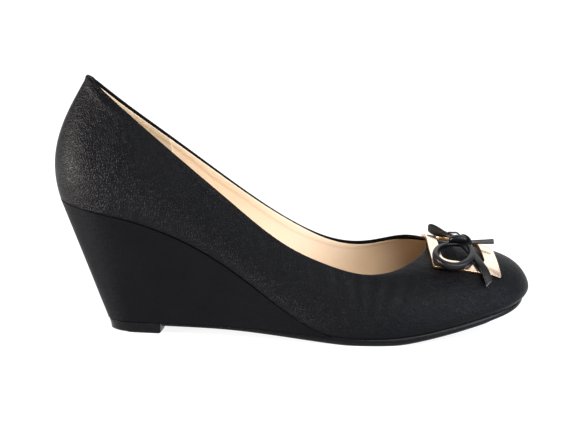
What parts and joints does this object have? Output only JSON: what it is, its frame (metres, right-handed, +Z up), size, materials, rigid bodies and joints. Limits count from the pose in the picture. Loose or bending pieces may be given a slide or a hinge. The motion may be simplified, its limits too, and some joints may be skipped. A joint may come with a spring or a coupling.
{
  "type": "wedge pump",
  "caption": "Right-foot slip-on wedge pump with round toe, curved metal frame plate and strip bow on the vamp.",
  "frame": {"origin": "middle of the ground face of the top lift under the heel, on the floor", "axes": "+X towards the toe, +Z up, -Y to the lateral side of this right shoe"},
  "size_m": [0.2345, 0.0805, 0.1232],
  "materials": {
    "upper_leather": "matte black grained leather, lined in beige",
    "insole_cover": "smooth beige lining leather",
    "wedge_cover": "matte black leather, stretched over the wedge",
    "sole_rubber": "black, satin at the edge",
    "lift_rubber": "black matte",
    "plate_metal": "polished pale rose gold plating",
    "bow_strip": "smooth black folded strip"
  },
  "bodies": {
    "root": {"upper": "upper_leather", "insole": "insole_cover", "wedge": "wedge_cover", "outsole": "sole_rubber", "top_lift": "lift_rubber", "vamp_plate": "plate_metal", "bow": "bow_strip"}
  },
  "joints": []
}
